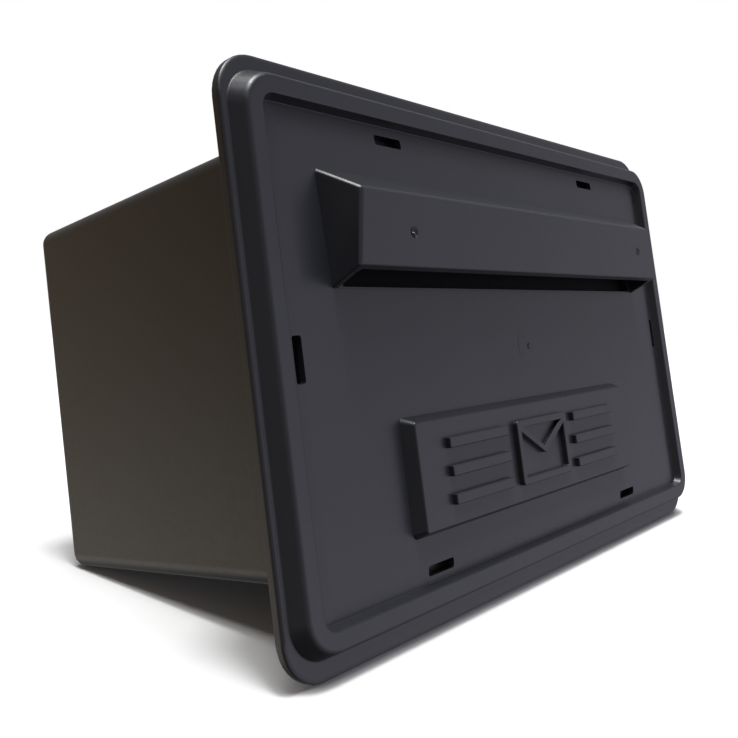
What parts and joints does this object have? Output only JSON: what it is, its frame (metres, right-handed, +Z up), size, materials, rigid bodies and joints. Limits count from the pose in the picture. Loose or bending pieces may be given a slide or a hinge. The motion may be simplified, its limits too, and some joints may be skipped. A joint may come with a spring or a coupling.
{
  "type": "letter plate with letter box",
  "caption": "Black plastic letter plate with a hooded letter mouth, raised rim and plaque, clipped to a through-wall letter box with a sprung inner flap and a latched rear door.",
  "frame": {"origin": "centre of the object's bounding box", "axes": "+X across the plate (to the right seen from the street), +Y from the street side to the inner side, +Z up"},
  "size_m": [0.25, 0.1582, 0.16],
  "materials": {
    "black_plastic": "satin moulded black with a faint grain",
    "box_plastic": "satin moulded black",
    "inner_plastic": "matt moulded black",
    "bright_steel": "zinc-plated",
    "spring_steel": "oiled spring wire"
  },
  "bodies": {
    "shell": {"front_plate": "black_plastic", "box_body": "box_plastic", "flap_rod": "bright_steel", "flap_spring_left": "spring_steel", "flap_spring_right": "spring_steel", "rod_cap_left": "bright_steel", "rod_cap_right": "bright_steel", "door_pin_left": "bright_steel", "door_pin_right": "bright_steel", "pin_clip_left": "bright_steel", "pin_clip_right": "bright_steel"},
    "flap": {"mail_flap": "inner_plastic"},
    "door": {"rear_door": "box_plastic", "latch_spring_washer": "spring_steel"},
    "latch": {"latch_knob": "inner_plastic", "latch_cam": "bright_steel", "latch_washer": "bright_steel", "latch_screw": "bright_steel"}
  },
  "joints": [
    {"name": "flap_swing", "type": "hinge", "parent": "shell", "child": "flap", "pos_m": [0, -0.0616, 0.0522], "axis": [1, 0, 0], "range_deg": [0, 75], "stiffness_Nm_per_rad": 0.004, "springref_deg": -34.38, "deforming": ["flap_spring_left", "flap_spring_right"]},
    {"name": "door_swing", "type": "hinge", "parent": "shell", "child": "door", "pos_m": [0, 0.0672, 0.0525], "axis": [1, 0, 0], "range_deg": [0, 110]},
    {"name": "latch_turn", "type": "hinge", "parent": "door", "child": "latch", "pos_m": [0, 0.0632, -0.035], "axis": [0, 1, 0], "range_deg": [0, 90]}
  ]
}
